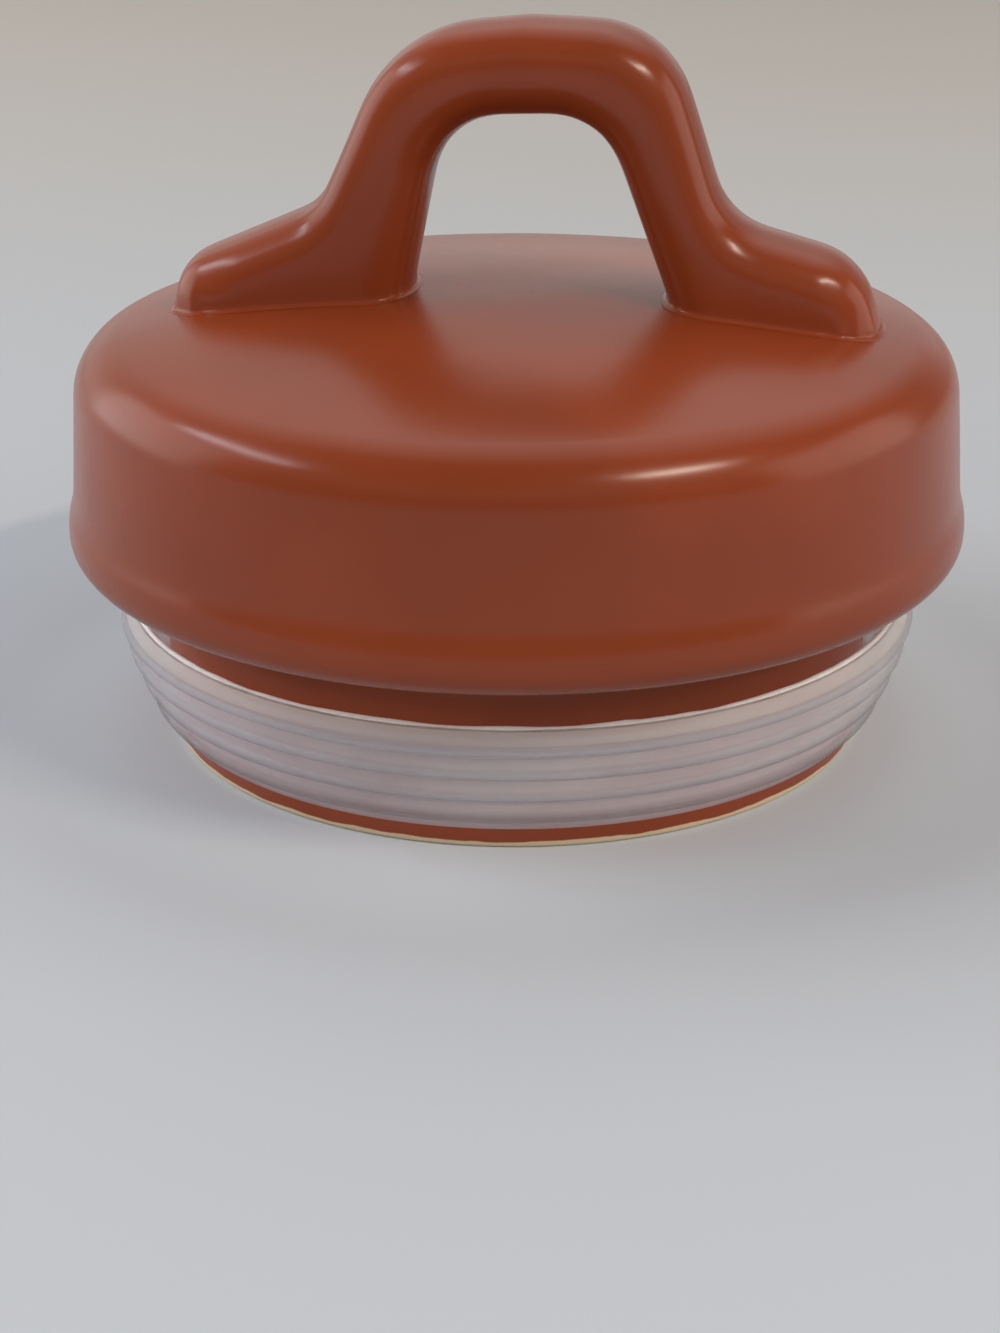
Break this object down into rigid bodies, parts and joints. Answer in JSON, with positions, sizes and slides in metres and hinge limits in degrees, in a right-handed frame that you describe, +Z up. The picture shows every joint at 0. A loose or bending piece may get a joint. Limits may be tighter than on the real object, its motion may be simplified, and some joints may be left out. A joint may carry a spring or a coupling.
{
  "type": "canister lid",
  "caption": "Glazed ceramic canister lid with a strap handle across its domed top and a translucent finned seal round the plug underneath.",
  "frame": {"origin": "centre of the foot ring that the lid stands on, at the bottom of the plug", "axes": "+Z up along the lid's axis, +X along the strap handle, +Y through the finger gap"},
  "size_m": [0.128, 0.128, 0.0991],
  "materials": {
    "terracotta_glaze": "satin brick-orange glaze, bare cream clay on the foot",
    "frosted_seal": "frosted translucent elastomer"
  },
  "bodies": {
    "seal": {"gasket": "frosted_seal"},
    "lid": {"lid": "terracotta_glaze", "handle": "terracotta_glaze"}
  },
  "joints": [
    {"name": "seal_pull_off", "type": "slide", "parent": "seal", "child": "lid", "axis": [0, 0, 1], "range_m": [0, 0.024]}
  ]
}
